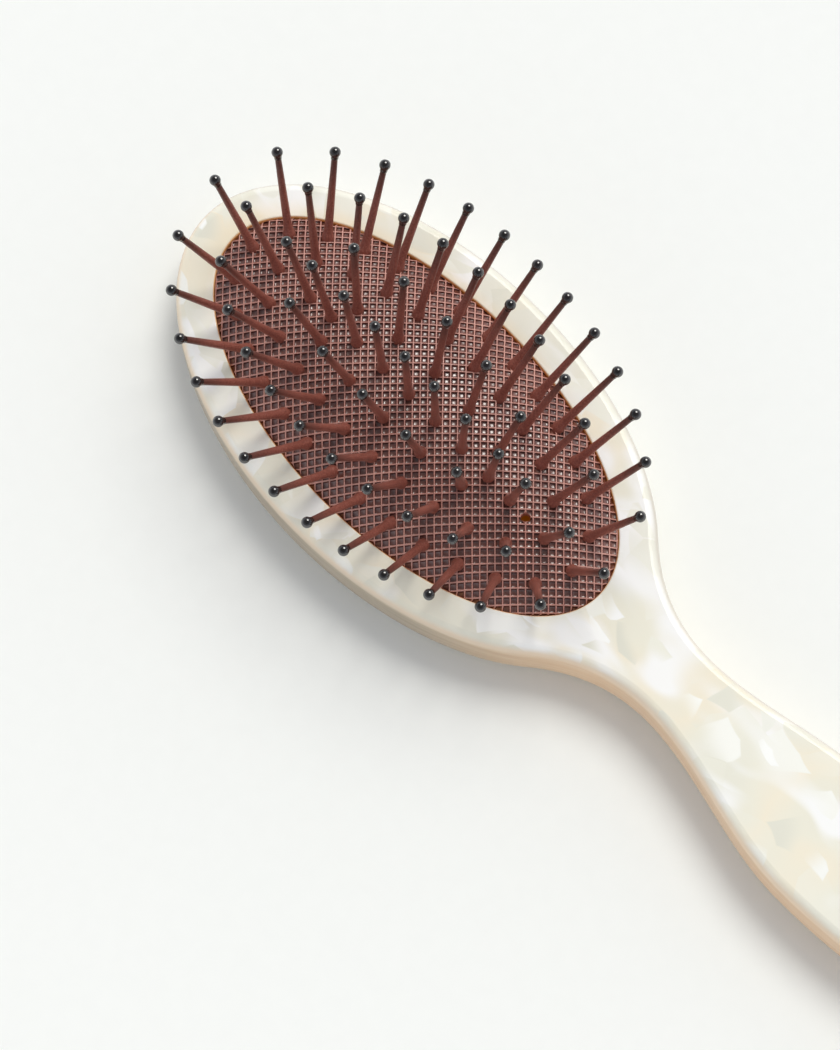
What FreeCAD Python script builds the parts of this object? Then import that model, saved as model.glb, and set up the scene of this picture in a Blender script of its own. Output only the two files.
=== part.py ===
import FreeCAD, Part
import math
import os
import Sketcher

# A cushioned detangling brush: a milled acetate body with a head, a neck and a grip, a domed rubber
# pad snapped into a grooved pocket, nylon pins pushed through the pad from behind in three oval rows
# and a core row, and a dipped bead on the end of every pin.
# Millimetres.  The origin lies on the flat back, under the middle of the pad; +X runs to the grip's
# end, +Z out of the front face.

SIZES = {
    # rubber pad: oval at the front face, wall, crown above its rim, and the power of the crown's curve
    "pad_long": 106.0,
    "pad_wide": 51.0,
    "pad_wall": 2.0,
    "crown_rise": 9.0,
    "crown_power": 2.4,
    "rim_sink": 0.4,
    # lip round the foot of the pad, and how deep under the front face it is held
    "lip_reach": 2.0,
    "lip_thick": 1.5,
    "lip_depth": 3.0,
    "pad_clearance": 0.15,
    # vent hole for the air under the pad
    "vent_wide": 2.0,
    "vent_end_inset": 20.0,
    # acetate body
    "rim_band": 8.4,
    "body_thick": 12.0,
    "well_depth": 8.0,
    "shoulder_angle": 32.0,
    "neck_reach": 15.6,
    "neck_wide": 16.2,
    "grip_reach": 42.0,
    "grip_wide": 28.6,
    "tail_reach": 49.6,
    "tail_round": 8.5,
    "tail_angle": 75.0,
    "front_round": 2.0,
    "back_round": 3.5,
    "mouth_round": 0.4,
    # rows of pins: how far each oval row stays inside the rim at the ends, and the outer row at the
    # sides; the core row stops short of the third row's ends
    "field_shift": 1.0,
    "outer_side_inset": 4.5,
    "outer_end_inset": 5.5,
    "outer_count": 28,
    "second_end_inset": 13.5,
    "second_count": 22,
    "third_end_inset": 23.5,
    "third_count": 12,
    "core_end_gap": 6.25,
    "core_count": 7,
    "pin_lean": 1.5,
    # one pin: from the pad's surface to the middle of the bead, shank, flare, neck and foot
    "pin_reach": 20.0,
    "shank_wide": 1.3,
    "root_wide": 1.75,
    "flare_high": 3.4,
    "flare_waist_wide": 2.0,
    "flare_waist_high": 1.5,
    "neck_proud": 0.3,
    "pin_neck_wide": 2.6,
    "foot_wide": 3.8,
    "foot_edge": 0.5,
    "foot_cone": 0.35,
    "foot_clearance": 0.28,
    "pin_clearance": 0.15,
    # one bead and its collar on the shank
    "bead_wide": 2.3,
    "bead_grip": 0.3,
    "collar_drop": 1.5,
    "collar_wall": 0.08,
    "collar_angle": 40.0,
    "glue_line": 0.03,
}

doc = FreeCAD.newDocument("detangling_brush")
sheet = doc.addObject("Spreadsheet::Sheet", "sizes")
for row, (alias, value) in enumerate(SIZES.items(), start=1):
    sheet.set(f"A{row}", alias)
    sheet.set(f"B{row}", str(value))
    sheet.setAlias(f"B{row}", alias)
doc.recompute()


def size(alias):
    """The value of one named cell."""
    return float(sheet.get(alias))


def vector(x, y, z=0.0):
    return FreeCAD.Vector(x, y, z)


# Expressions that several pieces share, all from the named cells.
HALF_LONG = "sizes.pad_long / 2"
HALF_WIDE = "sizes.pad_wide / 2"
RIM_HEIGHT = "(sizes.body_thick - sizes.rim_sink)"
LIP_TOP = "(sizes.body_thick - sizes.lip_depth)"
LIP_FLOOR = f"({LIP_TOP} - sizes.lip_thick)"
WELL_FLOOR = "(sizes.body_thick - sizes.well_depth)"

# Levels of the pad's crown, as shares of its oval from the rim to the flat spot on top.
CROWN_SHARES = (1.0, 0.94, 0.84, 0.7, 0.52, 0.32, 0.12)

# Oval rows of pins, from the rim inwards; across the brush they stand at even steps from the core row.
OVAL_ROWS = ("outer", "second", "third")

# Heights closer than this are one level.
SAME_LEVEL = 1e-4


def origin_plane(body, role):
    """One of the body's own origin planes."""
    for feature in body.Origin.OriginFeatures:
        if feature.Role == role:
            return feature
    raise ValueError(role)


def new_sketch(body, name, role):
    sketch = body.newObject("Sketcher::SketchObject", name)
    sketch.AttachmentSupport = [(origin_plane(body, role), "")]
    sketch.MapMode = "FlatFace"
    return sketch


def bind(sketch, constraint, expression):
    """Add a dimension to a sketch and tie it to the named cells."""
    index = sketch.addConstraint(constraint)
    sketch.setExpression(f"Constraints[{index}]", expression)


def oval_sketch(body, name, half_long, half_wide, height):
    """A level oval round the origin at a height; the three sizes are expressions."""
    sketch = new_sketch(body, name, "XY_Plane")
    sketch.setExpression("AttachmentOffset.Base.z", height)
    start_long = size("pad_long") / 2
    start_wide = size("pad_wide") / 2
    ellipse = Part.Ellipse(vector(start_long, 0), vector(0, start_wide), vector(0, 0))
    sketch.addGeometry(ellipse, False)
    sketch.exposeInternalGeometry(0)
    sketch.addConstraint(Sketcher.Constraint("Coincident", 0, 3, -1, 1))
    sketch.addConstraint(Sketcher.Constraint("Horizontal", 1))
    bind(sketch, Sketcher.Constraint("Distance", 1, 2 * start_long), f"2 * ({half_long})")
    bind(sketch, Sketcher.Constraint("Distance", 2, 2 * start_wide), f"2 * ({half_wide})")
    return sketch


def evaluate(expression):
    """The present value of an expression of the named cells."""
    return float(sheet.evalExpression(expression))


def profile_sketch(body, name, corners, round_edge=None):
    """A closed profile in the XZ plane; each corner is a pair of expressions, radius and height, and
    a radius of None lies on the axis.  Edges are straight, apart from one arc about the origin."""
    sketch = new_sketch(body, name, "XZ_Plane")
    points = []
    for radius, height in corners:
        points.append(vector(evaluate(radius) if radius else 0.0, evaluate(height)))
    for index, (here, there) in enumerate(zip(points, points[1:] + points[:1])):
        if index == round_edge:
            ball = Part.Circle(vector(0, 0), vector(0, 0, 1), here.Length)
            turns = [math.atan2(point.y, point.x) for point in (here, there)]
            sketch.addGeometry(Part.ArcOfCircle(ball, *turns), False)
        else:
            sketch.addGeometry(Part.LineSegment(here, there), False)
    for index in range(len(corners)):
        after = (index + 1) % len(corners)
        sketch.addConstraint(Sketcher.Constraint("Coincident", index, 2, after, 1))
    for index, (radius, height) in enumerate(corners):
        point = points[index]
        if radius is None:
            sketch.addConstraint(Sketcher.Constraint("PointOnObject", index, 1, -2))
        else:
            bind(sketch, Sketcher.Constraint("DistanceX", -1, 1, index, 1, point.x), radius)
        if round_edge is not None and index == round_edge + 1:
            sketch.addConstraint(Sketcher.Constraint("Coincident", round_edge, 3, -1, 1))
        else:
            bind(sketch, Sketcher.Constraint("DistanceY", -1, 1, index, 1, point.y), height)
    return sketch


def revolve(body, sketch, name):
    turned = body.newObject("PartDesign::Revolution", name)
    turned.Profile = sketch
    turned.ReferenceAxis = (sketch, ["V_Axis"])
    turned.Angle = 360.0
    return turned


def edges_at(shape, height):
    """Names of the edges that lie wholly at one height."""
    names = []
    for number, edge in enumerate(shape.Edges, start=1):
        box = edge.BoundBox
        if abs(box.ZMin - height) < SAME_LEVEL and abs(box.ZMax - height) < SAME_LEVEL:
            names.append(f"Edge{number}")
    return names


def side_curve(start, start_slope, end, end_slope):
    """A smooth stretch of the outline between two points with their slopes dy/dx."""
    handle = (end.x - start.x) / 3
    poles = [
        start,
        start + vector(handle, handle * start_slope),
        end - vector(handle, handle * end_slope),
        end,
    ]
    curve = Part.BezierCurve()
    curve.setPoles(poles)
    return curve.toBSpline()


def mirrored(point):
    return vector(point.x, -point.y)


def outline_curves():
    """The body's outline: head oval, shoulders, neck, grip and round tail, the same on both sides."""
    half_long = size("pad_long") / 2 + size("rim_band")
    half_wide = size("pad_wide") / 2 + size("rim_band")
    shoulder_turn = math.radians(size("shoulder_angle"))
    shoulder = vector(half_long * math.cos(shoulder_turn), half_wide * math.sin(shoulder_turn))
    shoulder_slope = -half_wide / (half_long * math.tan(shoulder_turn))
    neck = vector(half_long + size("neck_reach"), size("neck_wide") / 2)
    grip = vector(neck.x + size("grip_reach"), size("grip_wide") / 2)
    tail_middle = vector(grip.x + size("tail_reach") - size("tail_round"), 0)
    tail_turn = math.radians(size("tail_angle"))
    tail_side = tail_middle + vector(math.cos(tail_turn), math.sin(tail_turn)) * size("tail_round")
    tail_slope = -1 / math.tan(tail_turn)
    tail_end = tail_middle + vector(size("tail_round"), 0)

    head = Part.Ellipse(vector(half_long, 0), vector(0, half_wide), vector(0, 0))
    curves = [Part.ArcOfEllipse(head, shoulder_turn, 2 * math.pi - shoulder_turn)]
    stops = [(shoulder, shoulder_slope), (neck, 0.0), (grip, 0.0), (tail_side, tail_slope)]
    for (start, start_slope), (end, end_slope) in zip(stops, stops[1:]):
        curves.append(side_curve(start, start_slope, end, end_slope))
        curves.append(side_curve(mirrored(start), -start_slope, mirrored(end), -end_slope))
    curves.append(Part.Arc(tail_side, tail_end, mirrored(tail_side)))
    return curves


def pocket(body, sketch, name, depth):
    """Cut downwards from a sketch by an expression's depth."""
    before = body.Tip.Shape.Volume
    cut = body.newObject("PartDesign::Pocket", name)
    cut.Profile = sketch
    cut.setExpression("Length", depth)
    doc.recompute()
    if cut.Shape.Volume >= before:
        raise ValueError(f"{name} cuts nothing")
    return cut


def make_body():
    """Head, neck and grip from one plate, with rounded edges and a grooved pocket for the pad."""
    body = doc.addObject("PartDesign::Body", "brush_body")
    outline = new_sketch(body, "body_outline", "XY_Plane")
    for curve in outline_curves():
        outline.addGeometry(curve, False)
    plate = body.newObject("PartDesign::Pad", "plate")
    plate.Profile = outline
    plate.setExpression("Length", "sizes.body_thick")
    doc.recompute()

    front = body.newObject("PartDesign::Fillet", "front_edge")
    front.Base = (plate, edges_at(plate.Shape, size("body_thick")))
    front.setExpression("Radius", "sizes.front_round")
    doc.recompute()
    back = body.newObject("PartDesign::Fillet", "back_edge")
    back.Base = (front, edges_at(front.Shape, 0.0))
    back.setExpression("Radius", "sizes.back_round")
    doc.recompute()

    gap = "sizes.pad_clearance"
    mouth = oval_sketch(body, "mouth_oval", f"{HALF_LONG} + {gap}", f"{HALF_WIDE} + {gap}",
                        "sizes.body_thick")
    pocket(body, mouth, "mouth", "sizes.lip_depth + sizes.lip_thick")
    groove_reach = f"sizes.lip_reach + {gap}"
    groove = oval_sketch(body, "groove_oval", f"{HALF_LONG} + {groove_reach}",
                         f"{HALF_WIDE} + {groove_reach}", f"{LIP_TOP} + {gap}")
    pocket(body, groove, "groove", f"sizes.lip_thick + {gap}")
    well = oval_sketch(body, "well_oval", f"{HALF_LONG} - sizes.pad_wall",
                       f"{HALF_WIDE} - sizes.pad_wall", LIP_FLOOR)
    pocket(body, well, "well", f"{LIP_FLOOR} - {WELL_FLOOR}")

    before = body.Tip
    inner_edges = []
    for name in edges_at(before.Shape, size("body_thick")):
        edge = before.Shape.getElement(name)
        if edge.BoundBox.XMax < size("pad_long") / 2 + size("rim_band") / 2:
            inner_edges.append(name)
    rim = body.newObject("PartDesign::Fillet", "mouth_edge")
    rim.Base = (before, inner_edges)
    rim.setExpression("Radius", "sizes.mouth_round")
    doc.recompute()
    return body


def crown_height(x, y):
    """Height of the pad's outer face over a place in its oval."""
    share = math.hypot(2 * x / size("pad_long"), 2 * y / size("pad_wide"))
    rise = size("crown_rise") * (1 - share ** size("crown_power"))
    return size("body_thick") - size("rim_sink") + rise


def lean(x, y):
    """Direction of a pin that stands at a place on the pad: the crown's own slope, opened out."""
    half_long = size("pad_long") / 2
    half_wide = size("pad_wide") / 2
    share = math.hypot(x / half_long, y / half_wide)
    power = size("crown_power")
    slope = size("pin_lean") * size("crown_rise") * power * share ** (power - 2) if share else 0.0
    direction = vector(slope * x / half_long ** 2, slope * y / half_wide ** 2, 1.0)
    return direction.normalize()


def pin_places():
    """Rows of pins: for each row a list of (node word, places), nose to heel; a side pair shares
    one entry."""
    rows = {}
    middle = vector(-size("field_shift"), 0)
    row_step = (size("pad_wide") / 2 - size("outer_side_inset")) / len(OVAL_ROWS)
    for inwards, row in enumerate(OVAL_ROWS):
        half_long = size("pad_long") / 2 - size(f"{row}_end_inset")
        half_wide = row_step * (len(OVAL_ROWS) - inwards)
        count = 2 * round(size(f"{row}_count") / 2)
        ellipse = Part.Ellipse(middle - vector(half_long, 0), middle + vector(0, half_wide), middle)
        points = ellipse.toShape().discretize(Number=count + 1)
        half = count // 2
        entries = [("nose", [points[0]])]
        for step in range(1, half):
            entries.append((f"pair_{step:02d}", [points[step], mirrored(points[step])]))
        entries.append(("heel", [points[half]]))
        rows[row] = entries
    core_half_long = size("pad_long") / 2 - size("third_end_inset") - size("core_end_gap")
    count = max(2, int(size("core_count")))
    entries = []
    for step in range(count):
        along = vector(core_half_long * (2 * step / (count - 1) - 1), 0)
        entries.append((f"{step + 1:02d}", [middle + along]))
    rows["core"] = entries
    return rows


def placed(place):
    """Placement of a pin whose neck leaves the pad's face at a place."""
    base = vector(place.x, place.y, crown_height(place.x, place.y))
    turn = FreeCAD.Rotation(vector(0, 0, 1), lean(place.x, place.y))
    return FreeCAD.Placement(base, turn)


def make_pin():
    """One pin standing on the origin, its flare on the pad's face and its foot under the pad."""
    body = doc.addObject("PartDesign::Body", "pin_pattern")
    foot_top = "-(sizes.pad_wall + sizes.foot_clearance)"
    edge_top = f"({foot_top} - sizes.foot_cone)"
    foot_floor = f"({edge_top} - sizes.foot_edge)"
    neck = "sizes.pin_neck_wide / 2"
    corners = [
        (None, foot_floor),
        ("sizes.foot_wide / 2", foot_floor),
        ("sizes.foot_wide / 2", edge_top),
        (neck, foot_top),
        (neck, "sizes.neck_proud"),
        ("sizes.flare_waist_wide / 2", "sizes.flare_waist_high"),
        ("sizes.root_wide / 2", "sizes.flare_high"),
        ("sizes.shank_wide / 2", "sizes.pin_reach - sizes.collar_drop"),
        ("sizes.shank_wide / 2", "sizes.pin_reach + sizes.bead_grip - sizes.glue_line"),
        (None, "sizes.pin_reach + sizes.bead_grip - sizes.glue_line"),
    ]
    revolve(body, profile_sketch(body, "pin_profile", corners), "pin_turned")
    doc.recompute()
    return body


def make_bead():
    """One dipped bead round the origin, with a blind socket for the shank and a short collar."""
    body = doc.addObject("PartDesign::Body", "bead_pattern")
    socket = "(sizes.shank_wide / 2 + sizes.glue_line)"
    collar_floor = "-sizes.collar_drop"
    ball = "sizes.bead_wide / 2"
    corners = [
        (None, "sizes.bead_grip"),
        (socket, "sizes.bead_grip"),
        (socket, collar_floor),
        (f"{socket} + sizes.collar_wall", collar_floor),
        (f"{ball} * cos(sizes.collar_angle)", f"-{ball} * sin(sizes.collar_angle)"),
        (None, ball),
    ]
    profile = profile_sketch(body, "bead_profile", corners, round_edge=4)
    revolve(body, profile, "bead_turned")
    doc.recompute()
    return body


def oval(name, half_long, half_wide, height):
    """A level oval curve at a height; the three sizes are expressions."""
    curve = doc.addObject("Part::Ellipse", name)
    curve.setExpression("MajorRadius", half_long)
    curve.setExpression("MinorRadius", half_wide)
    curve.setExpression("Placement.Base.z", height)
    return curve


def drawn_down(name, curve, depth):
    """A solid between an oval and the same oval lower down by an expression's depth."""
    solid = doc.addObject("Part::Extrusion", name)
    solid.Base = curve
    solid.DirMode = "Custom"
    solid.Dir = vector(0, 0, -1)
    solid.setExpression("LengthFwd", depth)
    solid.Solid = True
    return solid


def crowned(name, top):
    """A dome on its skirt, the rim at a height given by an expression: ovals that close in on the
    crown by the crown's power curve."""
    sections = []
    for number, share in enumerate(CROWN_SHARES):
        rise = f"sizes.crown_rise * (1 - {share} ^ sizes.crown_power)"
        sections.append(oval(f"{name}_level_{number}", f"{HALF_LONG} * {share}",
                             f"{HALF_WIDE} * {share}", f"{top} + {rise}"))
    dome = doc.addObject("Part::Loft", f"{name}_dome")
    dome.Sections = sections
    dome.Solid = True
    skirt = drawn_down(f"{name}_skirt", sections[0], f"{top} - {LIP_FLOOR}")
    whole = doc.addObject("Part::MultiFuse", name)
    whole.Shapes = [dome, skirt]
    return whole


def hole(place):
    """A hole through the pad's wall along a pin."""
    reach = 2 * size("pad_wall")
    radius = size("pin_neck_wide") / 2 + size("pin_clearance")
    cutter = Part.makeCylinder(radius, 2 * reach, vector(0, 0, -reach))
    cutter.Placement = placed(place)
    return cutter


def make_pad(rows):
    """The rubber pad: crown, skirt and lip, one wall thick, with the pin holes and the vent."""
    outer = crowned("crown", RIM_HEIGHT)
    inner = crowned("hollow", f"({RIM_HEIGHT} - sizes.pad_wall)")
    lip_curve = oval("lip_curve", f"{HALF_LONG} + sizes.lip_reach", f"{HALF_WIDE} + sizes.lip_reach",
                     LIP_TOP)
    lip = drawn_down("lip", lip_curve, "sizes.lip_thick")
    bore_curve = oval("bore_curve", f"{HALF_LONG} - sizes.pad_wall", f"{HALF_WIDE} - sizes.pad_wall",
                      f"{RIM_HEIGHT} + sizes.crown_rise")
    bore = drawn_down("bore", bore_curve, "sizes.body_thick + sizes.crown_rise")
    whole = doc.addObject("Part::MultiFuse", "pad_whole")
    whole.Shapes = [outer, lip]
    cavity = doc.addObject("Part::MultiCommon", "pad_cavity")
    cavity.Shapes = [inner, bore]
    shell = doc.addObject("Part::Cut", "pad_shell")
    shell.Base = whole
    shell.Tool = cavity

    cutters = [hole(place) for entries in rows.values() for _, places in entries for place in places]
    vent_along = size("pad_long") / 2 - size("vent_end_inset")
    vent_top = vector(vent_along, 0, size("body_thick") + size("crown_rise"))
    down = vector(0, 0, -1)
    cutters.append(Part.makeCylinder(size("vent_wide") / 2, size("crown_rise"), vent_top, down))
    holes = doc.addObject("Part::Feature", "pad_holes")
    holes.Shape = Part.Compound(cutters)
    pad = doc.addObject("Part::Cut", "cushion_pad")
    pad.Base = shell
    pad.Tool = holes
    doc.recompute()
    return pad


def copies(name, pattern, placements):
    """A node of separate copies of one pattern."""
    solids = []
    for placement in placements:
        solid = pattern.Shape.copy()
        solid.Placement = placement
        solids.append(solid)
    node = doc.addObject("Part::Feature", name)
    node.Shape = solids[0] if len(solids) == 1 else Part.Compound(solids)
    return node


rows = pin_places()
pin = make_pin()
bead = make_bead()
subparts = [make_body(), make_pad(rows)]
to_bead = FreeCAD.Placement(vector(0, 0, size("pin_reach")), FreeCAD.Rotation())
for row, entries in rows.items():
    bead_places = []
    for word, places in entries:
        standing = [placed(place) for place in places]
        subparts.append(copies(f"{row}_pin_{word}", pin, standing))
        bead_places += [placement * to_bead for placement in standing]
    subparts.append(copies(f"{row}_tips", bead, bead_places))
doc.recompute()

for thing in doc.Objects:
    if "Invalid" in thing.State or "Error" in thing.State:
        raise ValueError(f"{thing.Name} failed: {thing.State}")
for part in subparts:
    if part.Shape.isNull() or not part.Shape.isValid():
        raise ValueError(f"{part.Label} has no valid shape")
os.makedirs("parts", exist_ok=True)
for part in subparts:
    part.Shape.exportStep(f"parts/{part.Label}.step")
    box = part.Shape.optimalBoundingBox()
    print(part.Label, len(part.Shape.Solids), round(part.Shape.Volume, 2), box)
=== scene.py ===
import math

import bpy
import numpy as np
from mathutils import Matrix, Vector


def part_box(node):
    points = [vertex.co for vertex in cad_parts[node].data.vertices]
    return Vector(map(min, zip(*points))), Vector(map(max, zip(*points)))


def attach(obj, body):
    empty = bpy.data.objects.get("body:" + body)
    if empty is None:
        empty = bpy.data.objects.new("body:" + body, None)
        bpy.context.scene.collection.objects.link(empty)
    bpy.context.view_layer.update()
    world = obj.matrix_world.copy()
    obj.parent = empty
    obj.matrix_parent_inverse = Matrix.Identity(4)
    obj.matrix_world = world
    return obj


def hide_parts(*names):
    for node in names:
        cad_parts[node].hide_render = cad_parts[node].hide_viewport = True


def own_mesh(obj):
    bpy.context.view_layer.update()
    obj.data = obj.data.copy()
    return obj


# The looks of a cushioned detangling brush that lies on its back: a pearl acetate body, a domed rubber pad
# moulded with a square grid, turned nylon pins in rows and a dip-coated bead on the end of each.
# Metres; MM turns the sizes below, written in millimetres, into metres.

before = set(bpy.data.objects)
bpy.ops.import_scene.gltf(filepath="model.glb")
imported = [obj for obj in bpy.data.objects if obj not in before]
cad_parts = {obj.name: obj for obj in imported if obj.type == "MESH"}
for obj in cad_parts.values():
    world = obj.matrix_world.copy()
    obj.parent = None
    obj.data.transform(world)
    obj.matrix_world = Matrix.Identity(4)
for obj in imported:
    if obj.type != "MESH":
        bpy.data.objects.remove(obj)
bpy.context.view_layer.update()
MM = 0.001

# The rubber pad, in millimetres: its lip, wall and crown, and the vent hole on the long axis.
LIP_REACH = 2.0
LIP_THICK = 1.5
PAD_WALL = 2.0
RIM_SINK = 0.4
CROWN_RISE = 9.0
CROWN_POWER = 2.4
VENT_WIDE = 2.0
VENT_END_INSET = 20.0

# The grid moulded into the pad's face: pitch, width and depth, and how far its lines turn from the long axis.
GRID_PITCH = 1.5
RIDGE_WIDE = 0.28
RIDGE_ROUND = 0.12
GRID_WALL = 0.12
GRID_DEPTH = 0.6
GRID_TURN = math.radians(47.0)

# One pin, in millimetres: heights are above the pad's face, where its flare stands.
FOOT_FLOOR = -3.13
FOOT_EDGE = 0.5
FOOT_CONE = 0.35
FOOT_WIDE = 3.8
NECK_WIDE = 2.6
NECK_PROUD = 0.3
FLARE_HIGH = 3.4
FLARE_POWER = 2.4
ROOT_WIDE = 1.75
SHANK_WIDE = 1.3
PIN_REACH = 20.0
PIN_END = 20.27
HOLE_GRIP = 0.2

# One bead on its shank, in millimetres: heights are from the middle of the ball.
BEAD_WIDE = 2.3
SOCKET_WIDE = 1.36
SOCKET_HIGH = 0.3
COLLAR_DROP = 1.5
COLLAR_WIDE = 1.52
COLLAR_ANGLE = math.radians(40.0)

ROWS = ("core", "third", "second", "outer")

# How finely round forms are divided: sides of a pin and a bead, steps along them and round the lip.
PIN_SIDES = 28
BEAD_SIDES = 32
FLARE_STEPS = 9
SHANK_STEPS = 6
COLLAR_SHARES = (0.35, 0.6, 0.8)
BALL_STEPS = 14
LIP_STEPS = 160

# The view: from where the camera looks, what its middle meets on the front face, and its lens.
VIEW_AZIMUTH = math.radians(53.8)
VIEW_ELEVATION = math.radians(70.33)
VIEW_ROLL = math.radians(6.39)
VIEW_AIM = Vector((18.4, -15.1, 12.0)) * MM
VIEW_DISTANCE = 0.9305
FILM_LONG = 36.0
LENS = 161.1

FLOOR_DROP = 0.05 * MM

# The key lamp: its level, width and place.
KEY_LEVEL = 1.79
KEY_SPREAD = math.radians(32.0)
KEY_AZIMUTH = math.radians(108.0)
KEY_ELEVATION = math.radians(54.0)

# The room: its level low down and overhead, the darker levels that gloss mirrors, as in a studio with flags
# round its lamp, and the sines of the heights between which the level changes. Then its brighter side, the
# share of light from that side and from the dim one, and how far round the change reaches.
ROOM_LOW = 1.17
ROOM_TOP = 0.41
MIRRORED_LOW = 0.6
MIRRORED_TOP = 0.14
WALL_SINE = 0.2
CEILING_SINE = 0.75
BRIGHT_AZIMUTH = math.radians(120.0)
BRIGHT_SIDE = 1.2
DIM_SIDE = 0.86
SIDE_REACH = 0.9


def colour(code):
    """Linear colour of an sRGB hex value."""
    parts = [int(code[i:i + 2], 16) / 255 for i in (1, 3, 5)]
    linear = [c / 12.92 if c <= 0.04045 else ((c + 0.055) / 1.055) ** 2.4 for c in parts]
    return (*linear, 1.0)


def add(tree, kind, settings=None, inputs=None, stops=None):
    """Add a node: its settings, its inputs by name or number, each a value or another node's output, and
    the stops of a ramp as places and hex colours."""
    made = tree.nodes.new(kind)
    for name, value in (settings or {}).items():
        setattr(made, name, value)
    for key, value in (inputs or {}).items():
        if isinstance(value, bpy.types.NodeSocket):
            tree.links.new(value, made.inputs[key])
        else:
            made.inputs[key].default_value = value
    if stops:
        elements = made.color_ramp.elements
        while len(elements) < len(stops):
            elements.new(1.0)
        for element, (place, code) in zip(elements, stops):
            element.position = place
            element.color = colour(code)
    return made


def new_material(name):
    """An empty node material, with its tree and its output node."""
    material = bpy.data.materials.new(name)
    material.use_nodes = True
    tree = material.node_tree
    tree.nodes.clear()
    return material, tree, tree.nodes.new("ShaderNodeOutputMaterial")


def pearl_face(tree, spot):
    """Colour and slant of the pearly face: a cream ground, white clouds drawn out in the rolled block, then
    flakes with a crisp edge on one side that fade into the ground on the other."""
    ground_size = 30 * MM
    cloud_size = 14 * MM
    cloud_start = 0.5
    cloud_full = 0.66
    cloud_cover = 0.85
    roll_turn = math.radians(-47.0)
    roll_draw = (0.65, 1.3, 0.4)
    # Flakes of three widths, with the share of cells that hold one, then their warp, form and faded side.
    flakes = ((14 * MM, 0.7), (8 * MM, 0.55), (4.5 * MM, 0.3))
    flake_warp = 0.6 * ground_size
    flake_form = (0.85, 1.1, 0.4)
    fade_start = -0.12
    fade_full = 0.22
    soft_edge = 0.3 * MM
    slope = 0.1
    ground_noise = add(tree, "ShaderNodeTexNoise", None,
                       {"Vector": spot, "Scale": 1 / ground_size, "Detail": 2.0})
    ground = add(tree, "ShaderNodeValToRGB", None, {"Fac": ground_noise.outputs["Fac"]},
                 [(0.36, "#EDEAD9"), (0.47, "#F0ECD9"), (0.55, "#F5ECD5"), (0.62, "#F0ECD9"),
                  (0.72, "#EBE9D9")])
    rolled = add(tree, "ShaderNodeMapping", None,
                 {"Vector": spot, "Rotation": (0.0, 0.0, roll_turn), "Scale": roll_draw})
    cloud_noise = add(tree, "ShaderNodeTexNoise", None,
                      {"Vector": rolled.outputs[0], "Scale": 1 / cloud_size, "Detail": 1.0,
                       "Distortion": 0.5})
    cloud = add(tree, "ShaderNodeMapRange", {"interpolation_type": "SMOOTHSTEP"},
                {"Value": cloud_noise.outputs["Fac"], "From Min": cloud_start, "From Max": cloud_full,
                 "To Max": cloud_cover})
    clouded = add(tree, "ShaderNodeMix", {"data_type": "RGBA"},
                  {"Factor": cloud.outputs[0], 6: ground.outputs[0], 7: colour("#FEFEFC")})
    seen = clouded.outputs[2]
    drift = add(tree, "ShaderNodeVectorMath", {"operation": "MULTIPLY_ADD"},
                {0: ground_noise.outputs["Color"], 1: (flake_warp,) * 3, 2: spot})
    block = add(tree, "ShaderNodeVectorMath", {"operation": "MULTIPLY"},
                {0: drift.outputs[0], 1: flake_form})
    lean = None
    for width, present in flakes:
        cells = add(tree, "ShaderNodeTexVoronoi", None, {"Vector": block.outputs[0], "Scale": 1 / width})
        rims = add(tree, "ShaderNodeTexVoronoi", {"feature": "DISTANCE_TO_EDGE"},
                   {"Vector": block.outputs[0], "Scale": 1 / width})
        inside = add(tree, "ShaderNodeVectorMath", {"operation": "SUBTRACT"},
                     {0: block.outputs[0], 1: cells.outputs["Position"]})
        own = add(tree, "ShaderNodeVectorMath", {"operation": "SUBTRACT"},
                  {0: cells.outputs["Color"], 1: (0.5, 0.5, 0.5)})
        across = add(tree, "ShaderNodeVectorMath", {"operation": "DOT_PRODUCT"},
                     {0: inside.outputs[0], 1: own.outputs[0]})
        fade = add(tree, "ShaderNodeMapRange", {"interpolation_type": "SMOOTHSTEP"},
                   {"Value": across.outputs["Value"], "From Min": fade_start * width,
                    "From Max": fade_full * width})
        chance = add(tree, "ShaderNodeSeparateColor", None, {0: cells.outputs["Color"]})
        there = add(tree, "ShaderNodeMath", {"operation": "LESS_THAN"},
                    {0: chance.outputs["Blue"], 1: present})
        within = add(tree, "ShaderNodeMapRange", {"interpolation_type": "SMOOTHSTEP"},
                     {"Value": rims.outputs["Distance"], "From Max": soft_edge / width,
                      "To Max": there.outputs[0]})
        cover = add(tree, "ShaderNodeMath", {"operation": "MULTIPLY"},
                    {0: fade.outputs[0], 1: within.outputs[0]})
        tone = add(tree, "ShaderNodeValToRGB", None, {"Fac": chance.outputs["Red"]},
                   [(0.0, "#E6E4D3"), (0.25, "#EEECDC"), (0.6, "#F5F4E7"), (1.0, "#FFFFFB")])
        laid = add(tree, "ShaderNodeMix", {"data_type": "RGBA"},
                   {"Factor": cover.outputs[0], 6: seen, 7: tone.outputs[0]})
        seen = laid.outputs[2]
        slanted = add(tree, "ShaderNodeMix", {"data_type": "VECTOR"},
                      {"Factor": cover.outputs[0], 5: own.outputs[0]})
        if lean:
            tree.links.new(lean, slanted.inputs[4])
        lean = slanted.outputs[1]
    tilt = add(tree, "ShaderNodeVectorMath", {"operation": "SCALE"}, {0: lean, "Scale": slope})
    return seen, tilt.outputs[0]


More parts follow.
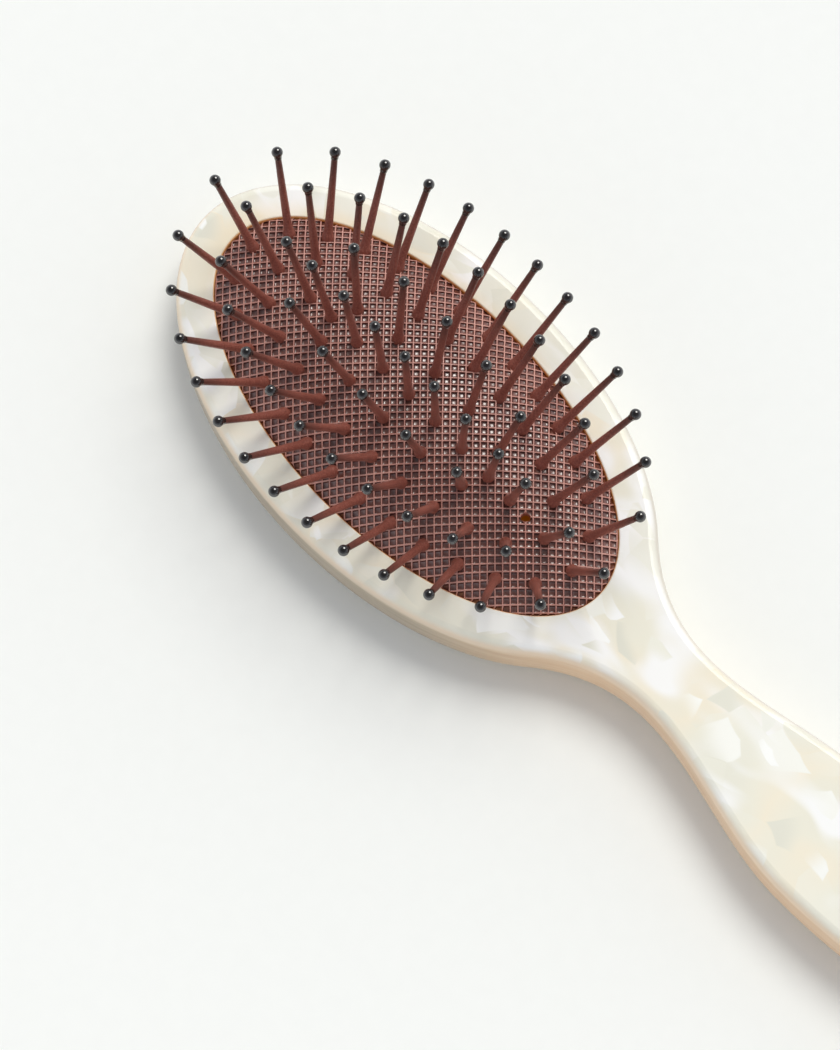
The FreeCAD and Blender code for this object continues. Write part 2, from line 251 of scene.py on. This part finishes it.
def cut_edge(tree, spot):
    """Colour of a cut wall: thin layers edge on, pale under the face and warmer further down, beige round the
    head and peach along the neck and grip. The head's darker beige is partly painted shade and the peach partly
    a painted glow of light soaking through; that warmth stays on the near, shaded side, and the far, lit side
    is greyed."""
    layer = 0.9 * MM
    layer_draw = (0.05, 0.05, 1.0)
    pale_depth = 0.2 * MM
    warm_depth = 3.0 * MM
    lit_side_reach = 12 * MM
    lit_side_share = 0.95
    head_end = 25 * MM
    grip_start = 65 * MM
    thin = add(tree, "ShaderNodeVectorMath", {"operation": "MULTIPLY"}, {0: spot, 1: layer_draw})
    layers = add(tree, "ShaderNodeTexNoise", None,
                 {"Vector": thin.outputs[0], "Scale": 1 / layer, "Detail": 3.0})
    # The head's darker beige is partly painted shade; the peach of the neck and grip is partly a painted glow
    # of light soaking through.
    head = add(tree, "ShaderNodeValToRGB", None, {"Fac": layers.outputs["Fac"]},
               [(0.32, "#AD9D85"), (0.5, "#B7A78F"), (0.68, "#C1B39D")])
    grip = add(tree, "ShaderNodeValToRGB", None, {"Fac": layers.outputs["Fac"]},
               [(0.32, "#EEC8A0"), (0.5, "#F3D0A9"), (0.68, "#F7D8B6")])
    along = add(tree, "ShaderNodeSeparateXYZ", None, {0: spot})
    to_grip = add(tree, "ShaderNodeMapRange", {"interpolation_type": "SMOOTHSTEP"},
                  {"Value": along.outputs["X"], "From Min": head_end, "From Max": grip_start})
    edge = add(tree, "ShaderNodeMix", {"data_type": "RGBA"},
               {"Factor": to_grip.outputs[0], 6: head.outputs[0], 7: grip.outputs[0]})
    high = add(tree, "ShaderNodeMapRange", {"interpolation_type": "SMOOTHSTEP"},
               {"Value": along.outputs["Z"], "From Min": body_high.z - warm_depth,
                "From Max": body_high.z - pale_depth})
    # Painted light: the far, lit side is greyed, so the warm painted glow stays on the near, shaded side.
    far = add(tree, "ShaderNodeMapRange", {"interpolation_type": "SMOOTHSTEP"},
              {"Value": along.outputs["Y"], "From Min": -lit_side_reach, "From Max": lit_side_reach,
               "To Max": lit_side_share})
    shallow = add(tree, "ShaderNodeMix", {"data_type": "RGBA"},
                  {"Factor": high.outputs[0], 6: edge.outputs[2], 7: colour("#FAE6CA")})
    greyed = add(tree, "ShaderNodeMix", {"data_type": "RGBA"},
                 {"Factor": far.outputs[0], 6: shallow.outputs[2], 7: colour("#CFC9BD")})
    return greyed.outputs[2]


def pearl_acetate():
    """Mother-of-pearl cellulose acetate: pearly flakes set in a cream block, which is sliced, milled and
    polished. Under a clear gloss lie soft white clouds and crisp flakes, each at its own slant. The cut walls
    show the layers edge on, warmer towards the grip, with painted shade and painted glow in their colour. The
    mouth, the well and the face beside the mouth carry a painted amber glow, in colour and a faint emission,
    for light that soaks through."""
    # The heights of the well under the pad, then reaches counted in half lengths of the pad's oval.
    well_middle = 5.75 * MM
    well_half = 2.5 * MM
    warm_reach = 1.12
    mouth_outer = 1.05
    mouth_inner = 1.02
    # The side of the mouth that light soaks into, and how far its painted glow shows on the face and in the
    # mouth.
    soak_way = (-0.8, 0.6, 0.0)
    soak_start = -0.1
    soak_full = 0.9
    soak_share = 0.45
    mouth_glow = 0.12
    # The uprightness of the surface at which the face begins to pass into the cut wall, and where it has.
    face_upright = 0.995
    wall_upright = 0.55
    material, tree, out = new_material("pearl_acetate_polished")
    place = add(tree, "ShaderNodeTexCoord")
    spot = place.outputs["Object"]
    pearl, slant = pearl_face(tree, spot)

    oval = add(tree, "ShaderNodeVectorMath", {"operation": "MULTIPLY"},
               {0: spot, 1: (1 / PAD_HALF_LONG, 1 / PAD_HALF_WIDE, 0.0)})
    reach = add(tree, "ShaderNodeVectorMath", {"operation": "LENGTH"}, {0: oval.outputs[0]})
    near = add(tree, "ShaderNodeMapRange", {"interpolation_type": "SMOOTHSTEP"},
               {"Value": reach.outputs["Value"], "From Min": warm_reach, "From Max": 1.0})
    far_side = add(tree, "ShaderNodeVectorMath", {"operation": "DOT_PRODUCT"},
                   {0: oval.outputs[0], 1: soak_way})
    soaked = add(tree, "ShaderNodeMapRange", {"interpolation_type": "SMOOTHSTEP"},
                 {"Value": far_side.outputs["Value"], "From Min": soak_start, "From Max": soak_full,
                  "To Max": soak_share})
    # Painted glow: the face near the mouth turns warm on the side that light soaks into.
    soak_glow = add(tree, "ShaderNodeMath", {"operation": "MULTIPLY"}, {0: near.outputs[0], 1: soaked.outputs[0]})
    face = add(tree, "ShaderNodeMix", {"data_type": "RGBA"},
               {"Factor": soak_glow.outputs[0], 6: pearl, 7: colour("#F8E4BC")})

    normal = add(tree, "ShaderNodeSeparateXYZ", None, {0: place.outputs["Normal"]})
    upright = add(tree, "ShaderNodeMath", {"operation": "ABSOLUTE"}, {0: normal.outputs["Z"]})
    side = add(tree, "ShaderNodeMapRange", {"interpolation_type": "SMOOTHSTEP"},
               {"Value": upright.outputs[0], "From Min": face_upright, "From Max": wall_upright})
    body = add(tree, "ShaderNodeMix", {"data_type": "RGBA"},
               {"Factor": side.outputs[0], 6: face.outputs[2], 7: cut_edge(tree, spot)})

    depth = add(tree, "ShaderNodeSeparateXYZ", None, {0: spot})
    in_mouth = add(tree, "ShaderNodeMapRange", None,
                   {"Value": reach.outputs["Value"], "From Min": mouth_outer, "From Max": mouth_inner})
    mouth_wall = add(tree, "ShaderNodeMath", {"operation": "MULTIPLY"},
                     {0: in_mouth.outputs[0], 1: side.outputs[0]})
    in_depth = add(tree, "ShaderNodeMath", {"operation": "COMPARE"},
                   {0: depth.outputs["Z"], 1: well_middle, 2: well_half})
    in_well = add(tree, "ShaderNodeMath", {"operation": "MULTIPLY"},
                  {0: in_mouth.outputs[0], 1: in_depth.outputs[0]})
    # Painted amber glow, in colour and a faint emission, on the mouth's wall and in the well, for light soaking
    # through.
    glow_area = add(tree, "ShaderNodeMath", {"operation": "MAXIMUM"},
                {0: mouth_wall.outputs[0], 1: in_well.outputs[0]})
    whole = add(tree, "ShaderNodeMix", {"data_type": "RGBA"},
                {"Factor": glow_area.outputs[0], 6: body.outputs[2], 7: colour("#EDBE80")})
    glow = add(tree, "ShaderNodeMath", {"operation": "MULTIPLY"}, {0: glow_area.outputs[0], 1: mouth_glow})

    surface = add(tree, "ShaderNodeNewGeometry")
    bent = add(tree, "ShaderNodeVectorMath", {"operation": "ADD"}, {0: surface.outputs["Normal"], 1: slant})
    facing = add(tree, "ShaderNodeVectorMath", {"operation": "NORMALIZE"}, {0: bent.outputs[0]})
    shine = add(tree, "ShaderNodeBsdfPrincipled", None,
                {"Base Color": whole.outputs[2], "Normal": facing.outputs[0], "Roughness": 0.4, "IOR": 1.3,
                 "Coat Weight": 0.4, "Coat Roughness": 0.13, "Coat IOR": 1.48,
                 "Emission Color": colour("#C06F16"), "Emission Strength": glow.outputs[0]})
    tree.links.new(shine.outputs[0], out.inputs["Surface"])
    return material


def pad_rubber(name, codes, roughness, gloss, grain_depth, dish):
    """Moulded brown rubber: fine mould grain and slow changes of shade. The ridges come out satin; the floors
    of the squares, pressed by polished studs with rounded ends, come out smooth and a little dished, each at
    a slight slant of its own; the walls drawn off the studs come out matt. The colours given for ridges,
    floors and walls are lit and shaded copies of one rubber: lighter on the ridges with painted light, darker
    on the floors and darkest on the walls with painted shade."""
    grain = 0.22 * MM
    grain_strength = 0.5
    cloud = 14 * MM
    cloud_share = 0.45
    unevenness = 0.06
    slant = 0.1
    material, tree, out = new_material(name)
    place = add(tree, "ShaderNodeTexCoord")
    spot = place.outputs["Object"]
    fine = add(tree, "ShaderNodeTexNoise", None, {"Vector": spot, "Scale": 1 / grain, "Detail": 2.0})
    slow = add(tree, "ShaderNodeTexNoise", None, {"Vector": spot, "Scale": 1 / cloud})
    mixed = add(tree, "ShaderNodeMix", None,
                {"Factor": cloud_share, "A": fine.outputs["Fac"], "B": slow.outputs["Fac"]})
    tint = add(tree, "ShaderNodeValToRGB", None, {"Fac": mixed.outputs["Result"]},
               list(zip((0.35, 0.5, 0.65), codes)))
    bump = add(tree, "ShaderNodeBump", None,
               {"Height": fine.outputs["Fac"], "Strength": grain_strength, "Distance": grain_depth})
    facing = bump.outputs[0]
    if dish:
        floor_share = 1 - (RIDGE_WIDE + 2 * GRID_WALL) / GRID_PITCH
        lines = add(tree, "ShaderNodeMapping", None,
                    {"Vector": spot, "Rotation": (0.0, 0.0, -GRID_TURN),
                     "Scale": (1 / (GRID_PITCH * MM), 1 / (GRID_PITCH * MM), 0.0)})
        square = add(tree, "ShaderNodeVectorMath", {"operation": "FLOOR"}, {0: lines.outputs[0]})
        chance = add(tree, "ShaderNodeTexWhiteNoise", None, {"Vector": square.outputs[0]})
        own = add(tree, "ShaderNodeVectorMath", {"operation": "SUBTRACT"},
                  {0: chance.outputs["Color"], 1: (0.5,) * 3})
        slanted = add(tree, "ShaderNodeVectorMath", {"operation": "MULTIPLY_ADD"},
                      {0: own.outputs[0], 1: (slant,) * 3, 2: facing})
        inside = add(tree, "ShaderNodeVectorMath", {"operation": "FRACTION"}, {0: lines.outputs[0]})
        aside = add(tree, "ShaderNodeVectorMath", {"operation": "MULTIPLY_ADD"},
                    {0: inside.outputs[0], 1: (2.0 / floor_share, 2.0 / floor_share, 0.0),
                     2: (-1.0 / floor_share, -1.0 / floor_share, 0.0)})
        size = add(tree, "ShaderNodeVectorMath", {"operation": "ABSOLUTE"}, {0: aside.outputs[0]})
        curved = add(tree, "ShaderNodeVectorMath", {"operation": "MULTIPLY"},
                     {0: size.outputs[0], 1: aside.outputs[0]})
        turned_back = add(tree, "ShaderNodeMapping", None,
                          {"Vector": curved.outputs[0], "Rotation": (0.0, 0.0, GRID_TURN)})
        dished = add(tree, "ShaderNodeVectorMath", {"operation": "MULTIPLY_ADD"},
                     {0: turned_back.outputs[0], 1: (-dish,) * 3, 2: slanted.outputs[0]})
        level = add(tree, "ShaderNodeVectorMath", {"operation": "NORMALIZE"}, {0: dished.outputs[0]})
        facing = level.outputs[0]
    dull = add(tree, "ShaderNodeMapRange", None,
               {"Value": slow.outputs["Fac"], "From Min": 0.3, "From Max": 0.7,
                "To Min": roughness - unevenness, "To Max": roughness + unevenness})
    shine = add(tree, "ShaderNodeBsdfPrincipled", None,
                {"Base Color": tint.outputs[0], "Roughness": dull.outputs[0], "Normal": facing,
                 "IOR": gloss})
    tree.links.new(shine.outputs[0], out.inputs["Surface"])
    return material


def pin_nylon():
    """Moulded brown nylon: satin, with a fine mould grain. Painted shade darkens the upper shank towards the
    bead and thins out downwards."""
    grain = 0.35 * MM
    grain_depth = 0.04 * MM
    shade_low = 9.0
    shade_high = PIN_REACH - COLLAR_DROP
    shade_share = 0.62
    smoothest = 0.36
    dullest = 0.48
    material, tree, out = new_material("pin_nylon_moulded")
    place = add(tree, "ShaderNodeTexCoord")
    fine = add(tree, "ShaderNodeTexNoise", None,
               {"Vector": place.outputs["Object"], "Scale": 1 / grain, "Detail": 3.0})
    tint = add(tree, "ShaderNodeValToRGB", None, {"Fac": fine.outputs["Fac"]},
               [(0.3, "#7E4437"), (0.5, "#905143"), (0.72, "#A26252")])
    height = add(tree, "ShaderNodeAttribute", {"attribute_name": "height"})
    shank_shade = add(tree, "ShaderNodeMapRange", {"interpolation_type": "SMOOTHSTEP"},
               {"Value": height.outputs["Fac"], "From Min": shade_low, "From Max": shade_high,
                "To Max": shade_share})
    # Painted shade on the upper shank, darker towards the bead.
    shaded_shank = add(tree, "ShaderNodeMix", {"data_type": "RGBA"},
                 {"Factor": shank_shade.outputs[0], 6: tint.outputs[0], 7: colour("#2E1814")})
    bump = add(tree, "ShaderNodeBump", None,
               {"Height": fine.outputs["Fac"], "Strength": 0.35, "Distance": grain_depth})
    dull = add(tree, "ShaderNodeMapRange", None,
               {"Value": fine.outputs["Fac"], "From Min": 0.3, "From Max": 0.7,
                "To Min": smoothest, "To Max": dullest})
    shine = add(tree, "ShaderNodeBsdfPrincipled", None,
                {"Base Color": shaded_shank.outputs[2], "Roughness": dull.outputs[0], "Normal": bump.outputs[0],
                 "IOR": 1.53})
    tree.links.new(shine.outputs[0], out.inputs["Surface"])
    return material


def bead_epoxy():
    """Black epoxy, dip-coated and run smooth: a deep gloss with a faint unevenness of the cured skin."""
    ripple = 1.2 * MM
    ripple_depth = 0.03 * MM
    smoothest = 0.03
    dullest = 0.07
    material, tree, out = new_material("bead_epoxy_dipped")
    place = add(tree, "ShaderNodeTexCoord")
    skin = add(tree, "ShaderNodeTexNoise", None, {"Vector": place.outputs["Object"], "Scale": 1 / ripple})
    tint = add(tree, "ShaderNodeValToRGB", None, {"Fac": skin.outputs["Fac"]},
               [(0.35, "#0E0C0B"), (0.65, "#1D1816")])
    gloss = add(tree, "ShaderNodeMapRange", None,
                {"Value": skin.outputs["Fac"], "From Min": 0.3, "From Max": 0.7,
                 "To Min": smoothest, "To Max": dullest})
    bump = add(tree, "ShaderNodeBump", None,
               {"Height": skin.outputs["Fac"], "Strength": 0.3, "Distance": ripple_depth})
    shine = add(tree, "ShaderNodeBsdfPrincipled", None,
                {"Base Color": tint.outputs[0], "Roughness": gloss.outputs[0], "Normal": bump.outputs[0],
                 "IOR": 2.0})
    tree.links.new(shine.outputs[0], out.inputs["Surface"])
    return material


def new_piece(name, points, faces, materials):
    """A smooth mesh object of points in metres."""
    mesh = bpy.data.meshes.new(name)
    mesh.from_pydata([tuple(p) for p in points], [], [tuple(f) for f in faces])
    mesh.polygons.foreach_set("use_smooth", [True] * len(mesh.polygons))
    for material in materials:
        mesh.materials.append(material)
    mesh.update()
    piece = bpy.data.objects.new(name, mesh)
    bpy.context.scene.collection.objects.link(piece)
    return piece


# The pad's oval and rim height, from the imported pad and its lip.
lip_low, lip_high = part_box("cushion_pad")
body_low, body_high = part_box("brush_body")
PAD_HALF_LONG = lip_high.x - LIP_REACH * MM
PAD_HALF_WIDE = lip_high.y - LIP_REACH * MM
RIM_HEIGHT = body_high.z - RIM_SINK * MM


def crown_height(places):
    """Height of the pad's face over places in its oval."""
    share = np.hypot(places[:, 0] / PAD_HALF_LONG, places[:, 1] / PAD_HALF_WIDE)
    return RIM_HEIGHT + CROWN_RISE * MM * (1 - share ** CROWN_POWER)


def pin_axes(node):
    """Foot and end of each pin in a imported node, which holds one pin on the long axis or one on each side."""
    points = np.array([v.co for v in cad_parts[node].data.vertices])
    sides = [points]
    if np.abs(points[:, 1]).min() > SHANK_WIDE * MM:
        sides = [points[points[:, 1] > 0], points[points[:, 1] < 0]]
    end_band = 0.05 * MM
    axes = []
    for pin in sides:
        pin = np.unique(np.round(pin, 7), axis=0)
        centred = pin - pin.mean(0)
        along = np.linalg.svd(centred, full_matrices=False)[2][0]
        reach = centred @ (along * np.sign(along[2]))
        foot = pin[reach < reach.min() + end_band].mean(0)
        end = pin[reach > reach.max() - end_band].mean(0)
        axes.append((foot, (end - foot) / np.linalg.norm(end - foot)))
    return axes


def turned(name, profile, axes, sides, material):
    """A piece of turned copies: the profile is radii and heights in millimetres, with a first and last radius
    of 0, and each axis a start point and a direction. Its points keep their height as an attribute."""
    angles = np.linspace(0, 2 * math.pi, sides, endpoint=False)
    points = []
    faces = []
    ring_heights = [height for radius, height in profile[1:-1] for side in range(sides)]
    heights = [profile[0][1], *ring_heights, profile[-1][1]]
    for start, along in axes:
        across = np.cross(along, (0.0, 1.0, 0.0))
        across /= np.linalg.norm(across)
        other = np.cross(along, across)
        low = len(points)
        points.append(start + along * profile[0][1] * MM)
        for radius, height in profile[1:-1]:
            spoke = np.outer(np.cos(angles), across) + np.outer(np.sin(angles), other)
            points += list(start + along * height * MM + spoke * radius * MM)
        points.append(start + along * profile[-1][1] * MM)
        high = len(points) - 1
        rings = len(profile) - 2
        for k in range(sides):
            after = (k + 1) % sides
            faces.append((low, low + 1 + after, low + 1 + k))
            for ring in range(rings - 1):
                here = low + 1 + ring * sides
                faces.append((here + k, here + after, here + sides + after, here + sides + k))
            last = low + 1 + (rings - 1) * sides
            faces.append((last + k, last + after, high))
    piece = new_piece(name, points, faces, [material])
    layer = piece.data.attributes.new("height", "FLOAT", "POINT")
    layer.data.foreach_set("value", heights * len(axes))
    return piece


def pin_profile():
    """Foot, neck, trumpet flare and tapering shank."""
    neck = NECK_WIDE / 2
    edge_top = FOOT_FLOOR + FOOT_EDGE
    profile = [(0, FOOT_FLOOR), (FOOT_WIDE / 2, FOOT_FLOOR), (FOOT_WIDE / 2, edge_top),
               (neck, edge_top + FOOT_CONE), (neck, 0.0)]
    for height in np.linspace(NECK_PROUD, FLARE_HIGH, FLARE_STEPS):
        left = (FLARE_HIGH - height) / (FLARE_HIGH - NECK_PROUD)
        profile.append((ROOT_WIDE / 2 + (neck - ROOT_WIDE / 2) * left ** FLARE_POWER, height))
    shank_low = PIN_REACH - COLLAR_DROP
    for height in np.linspace(FLARE_HIGH, shank_low, SHANK_STEPS)[1:]:
        share = (height - FLARE_HIGH) / (shank_low - FLARE_HIGH)
        profile.append((ROOT_WIDE / 2 + (SHANK_WIDE - ROOT_WIDE) / 2 * share, height))
    return profile + [(SHANK_WIDE / 2, PIN_END), (0, PIN_END)]


def bead_profile():
    """Blind socket, collar drawn down the shank and round ball."""
    ball = BEAD_WIDE / 2
    join = (ball * math.cos(COLLAR_ANGLE), -ball * math.sin(COLLAR_ANGLE))
    profile = [(0, SOCKET_HIGH), (SOCKET_WIDE / 2, SOCKET_HIGH), (SOCKET_WIDE / 2, -COLLAR_DROP),
               (COLLAR_WIDE / 2, -COLLAR_DROP)]
    for share in COLLAR_SHARES:
        height = -COLLAR_DROP + (COLLAR_DROP + join[1]) * share
        profile.append((COLLAR_WIDE / 2 + (join[0] - COLLAR_WIDE / 2) * share ** 2, height))
    for angle in np.linspace(-COLLAR_ANGLE, math.pi / 2, BALL_STEPS)[:-1]:
        profile.append((ball * math.cos(angle), ball * math.sin(angle)))
    return profile + [(0, ball)]


def grid_lines(reach):
    """Places of the grid's lines across the pad and their depths: ridge middle, its rounded shoulders, and
    the two foot lines of the square beside it."""
    shoulder = RIDGE_WIDE / 2
    foot = shoulder + GRID_WALL
    pattern = [(0.0, 0.0), (shoulder, -RIDGE_ROUND), (foot, -GRID_DEPTH), (GRID_PITCH - foot, -GRID_DEPTH),
               (GRID_PITCH - shoulder, -RIDGE_ROUND)]
    count = math.ceil(reach / (GRID_PITCH * MM))
    lines = [(k * GRID_PITCH + step, depth) for k in range(-count, count) for step, depth in pattern]
    return np.array(lines).T * MM


def make_crown(holes, materials):
    """The pad's crown: a wall with the square grid in its face and a round hole for each pin and the vent.
    The grid's points that fall outside the oval or in a hole are drawn to its edge. The materials are those
    of the ridges, with painted light, and of the squares' floors and walls, with painted shade."""
    floor_level = -0.99 * GRID_DEPTH * MM
    line_u, depth_u = grid_lines(PAD_HALF_LONG)
    line_v, depth_v = grid_lines(PAD_HALF_LONG)
    u, v = np.meshgrid(line_u, line_v, indexing="ij")
    depth = np.maximum(depth_u[:, None], depth_v[None, :]).ravel()
    turn = np.array([[math.cos(GRID_TURN), math.sin(GRID_TURN)],
                     [-math.sin(GRID_TURN), math.cos(GRID_TURN)]])
    plan = np.stack([u.ravel(), v.ravel()], 1) @ turn

    share = np.hypot(plan[:, 0] / PAD_HALF_LONG, plan[:, 1] / PAD_HALF_WIDE)
    outside = share > 1
    trimmed = np.where(outside[:, None], plan / np.maximum(share, 1e-9)[:, None], plan)
    cut = outside.copy()
    for middle, radius in holes:
        away = plan - middle
        distance = np.hypot(*away.T)
        within = distance < radius
        cut |= within
        trimmed[within] = middle + away[within] / np.maximum(distance[within], 1e-9)[:, None] * radius

    index = np.arange(len(plan)).reshape(u.shape)
    corners = np.stack([index[:-1, :-1], index[1:, :-1], index[1:, 1:], index[:-1, 1:]], -1).reshape(-1, 4)
    corners = corners[~cut[corners].all(1)]
    used, quads = np.unique(corners, return_inverse=True)
    quads = quads.reshape(-1, 4)
    face = np.column_stack([trimmed[used], crown_height(trimmed[used]) + depth[used]])
    back = np.column_stack([trimmed[used], crown_height(trimmed[used]) - PAD_WALL * MM])
    deep = depth[used][quads] < floor_level
    floor_faces = deep.all(1)
    wall_faces = deep.any(1) & ~floor_faces

    edges = np.concatenate([quads[:, [k, (k + 1) % 4]] for k in range(4)])
    seen = {}
    for a, b in edges:
        key = (min(a, b), max(a, b))
        seen[key] = None if key in seen else (a, b)
    open_edges = [pair for pair in seen.values() if pair]
    under = len(used)
    walls = [(b, a, a + under, b + under) for a, b in open_edges]
    faces = [*quads, *(quads[:, ::-1] + under), *walls]
    crown = new_piece("cushion_crown", np.concatenate([face, back]), faces, materials)
    slots = np.zeros(len(faces), int)
    slots[:len(quads)] = floor_faces + 2 * wall_faces
    crown.data.polygons.foreach_set("material_index", slots)
    smooth = np.ones(len(faces), bool)
    smooth[:len(quads)] = ~floor_faces
    smooth[2 * len(quads):] = False
    crown.data.polygons.foreach_set("use_smooth", smooth)
    return crown


def make_lip(material):
    """The skirt under the crown's rim and the lip that snaps into the body's groove, one oval ring."""
    top = RIM_HEIGHT - PAD_WALL * MM
    floor = lip_low.z
    lip_top = floor + LIP_THICK * MM
    reach = LIP_REACH * MM
    section = [(0.0, top), (-PAD_WALL * MM, top), (-PAD_WALL * MM, floor), (reach, floor), (reach, lip_top),
               (0.0, lip_top)]
    angles = np.linspace(0, 2 * math.pi, LIP_STEPS, endpoint=False)
    points = []
    for angle in angles:
        for step, height in section:
            points.append(((PAD_HALF_LONG + step) * math.cos(angle), (PAD_HALF_WIDE + step) * math.sin(angle),
                           height))
    faces = []
    size = len(section)
    for k in range(len(angles)):
        after = (k + 1) % len(angles)
        for side in range(size):
            there = (side + 1) % size
            faces.append((k * size + side, k * size + there, after * size + there, after * size + side))
    lip = new_piece("cushion_lip", points, faces, [material])
    lip.data.polygons.foreach_set("use_smooth", [False] * len(lip.data.polygons))
    return lip


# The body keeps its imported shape.
acetate = pearl_acetate()
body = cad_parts["brush_body"]
body.data.materials.clear()
body.data.materials.append(acetate)

# Pins and beads, node by node, on the bodies of their rows.
nylon = pin_nylon()
epoxy = bead_epoxy()
hole_radius = (NECK_WIDE / 2 - HOLE_GRIP) * MM
holes = []
for row in ROWS:
    bead_axes = []
    for node in sorted(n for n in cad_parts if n.startswith(f"{row}_pin")):
        axes = [(foot - along * FOOT_FLOOR * MM, along) for foot, along in pin_axes(node)]
        pin = turned(f"{node}_turned", pin_profile(), axes, PIN_SIDES, nylon)
        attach(pin, f"{row}_row")
        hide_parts(node)
        holes += [(start[:2], hole_radius) for start, along in axes]
        bead_axes += [(start + along * PIN_REACH * MM, along) for start, along in axes]
    beads = turned(f"{row}_beads", bead_profile(), bead_axes, BEAD_SIDES, epoxy)
    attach(beads, f"{row}_row")
    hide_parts(f"{row}_tips")

# The pad: its crown, and the lip that sits in the body's groove.
vent = np.array([PAD_HALF_LONG - VENT_END_INSET * MM, 0.0])
holes.append((vent, VENT_WIDE / 2 * MM))
# Lit and shaded copies of one rubber: the ridges lightened with painted light, the squares' floors darkened
# with painted shade, the walls darkest with painted shade.
lit_ridge_rubber = pad_rubber("pad_rubber_ridges_lit", ("#B67A6D", "#CA9081", "#DCA494"),
                          roughness=0.36, gloss=1.7, grain_depth=0.02 * MM, dish=0.0)
shaded_floor_rubber = pad_rubber("pad_rubber_squares_shaded", ("#62301F", "#743C2B", "#864838"),
                          roughness=0.34, gloss=2.3, grain_depth=0.004 * MM, dish=0.6)
shaded_wall_rubber = pad_rubber("pad_rubber_walls_shaded", ("#4A2019", "#572921", "#64332A"),
                         roughness=0.6, gloss=1.45, grain_depth=0.01 * MM, dish=0.0)
crown = make_crown(holes, [lit_ridge_rubber, shaded_floor_rubber, shaded_wall_rubber])
lip = make_lip(lit_ridge_rubber)
for piece in (crown, lip):
    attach(piece, "brush")
    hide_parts("cushion_pad")
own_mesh(crown)


def make_floor():
    """A plain pale table top under the brush."""
    reach = 2.0
    mottle_size = 4 * MM
    height = body_low.z - FLOOR_DROP
    corners = [(-reach, -reach, height), (reach, -reach, height), (reach, reach, height),
               (-reach, reach, height)]
    material, tree, out = new_material("pale_table_paint")
    place = add(tree, "ShaderNodeTexCoord")
    mottle = add(tree, "ShaderNodeTexNoise", None,
                 {"Vector": place.outputs["Object"], "Scale": 1 / mottle_size})
    tint = add(tree, "ShaderNodeValToRGB", None, {"Fac": mottle.outputs["Fac"]},
               [(0.3, "#F8F9F4"), (0.7, "#F9FAF5")])
    matt = add(tree, "ShaderNodeBsdfDiffuse", None, {"Color": tint.outputs[0]})
    tree.links.new(matt.outputs[0], out.inputs["Surface"])
    floor = new_piece("table_top", corners, [(0, 1, 2, 3)], [material])


def make_light():
    """A soft key from above the far side, and a room that is pale low down and dim overhead."""
    light = bpy.data.lights.new("soft_key", "SUN")
    light.energy = KEY_LEVEL
    light.angle = KEY_SPREAD
    light.color = colour("#FFFCF6")[:3]
    lamp = bpy.data.objects.new("soft_key", light)
    way = Vector((math.cos(KEY_ELEVATION) * math.cos(KEY_AZIMUTH),
                  math.cos(KEY_ELEVATION) * math.sin(KEY_AZIMUTH), math.sin(KEY_ELEVATION)))
    lamp.rotation_mode = "QUATERNION"
    lamp.rotation_quaternion = way.to_track_quat("Z", "Y")
    bpy.context.scene.collection.objects.link(lamp)

    world = bpy.data.worlds.new("pale_room")
    bpy.context.scene.world = world
    world.use_nodes = True
    tree = world.node_tree
    tree.nodes.clear()
    place = add(tree, "ShaderNodeTexCoord")
    way_up = add(tree, "ShaderNodeSeparateXYZ", None, {0: place.outputs["Generated"]})
    path = add(tree, "ShaderNodeLightPath")
    wall = add(tree, "ShaderNodeMix", None,
               {"Factor": path.outputs["Is Glossy Ray"], "A": ROOM_LOW, "B": MIRRORED_LOW})
    ceiling = add(tree, "ShaderNodeMix", None,
                  {"Factor": path.outputs["Is Glossy Ray"], "A": ROOM_TOP, "B": MIRRORED_TOP})
    level = add(tree, "ShaderNodeMapRange", {"interpolation_type": "SMOOTHSTEP"},
                {"Value": way_up.outputs["Z"], "From Min": WALL_SINE, "From Max": CEILING_SINE,
                 "To Min": wall.outputs["Result"], "To Max": ceiling.outputs["Result"]})
    aside = add(tree, "ShaderNodeVectorMath", {"operation": "DOT_PRODUCT"},
                {0: place.outputs["Generated"], 1: (math.cos(BRIGHT_AZIMUTH), math.sin(BRIGHT_AZIMUTH), 0.0)})
    side = add(tree, "ShaderNodeMapRange", {"interpolation_type": "SMOOTHSTEP"},
               {"Value": aside.outputs["Value"], "From Min": -SIDE_REACH, "From Max": SIDE_REACH,
                "To Min": DIM_SIDE, "To Max": BRIGHT_SIDE})
    strength = add(tree, "ShaderNodeMath", {"operation": "MULTIPLY"},
                   {0: level.outputs[0], 1: side.outputs[0]})
    room = add(tree, "ShaderNodeBackground", None,
               {"Color": colour("#F2F6FF"), "Strength": strength.outputs[0]})
    add(tree, "ShaderNodeOutputWorld", None, {"Surface": room.outputs[0]})


def make_camera():
    """The photograph's view of the front face."""
    data = bpy.data.cameras.new("camera")
    data.sensor_width = FILM_LONG
    data.lens = LENS
    camera = bpy.data.objects.new("camera", data)
    back = Vector((math.sin(VIEW_AZIMUTH) * math.cos(VIEW_ELEVATION),
                   -math.cos(VIEW_AZIMUTH) * math.cos(VIEW_ELEVATION), math.sin(VIEW_ELEVATION)))
    turn = (-back).to_track_quat("-Z", "Y").to_matrix() @ Matrix.Rotation(-VIEW_ROLL, 3, "Z")
    camera.matrix_world = Matrix.Translation(VIEW_AIM + back * VIEW_DISTANCE) @ turn.to_4x4()
    bpy.context.scene.collection.objects.link(camera)
    bpy.context.scene.camera = camera


make_floor()
make_light()
make_camera()
bpy.context.scene.view_settings.view_transform = "Standard"
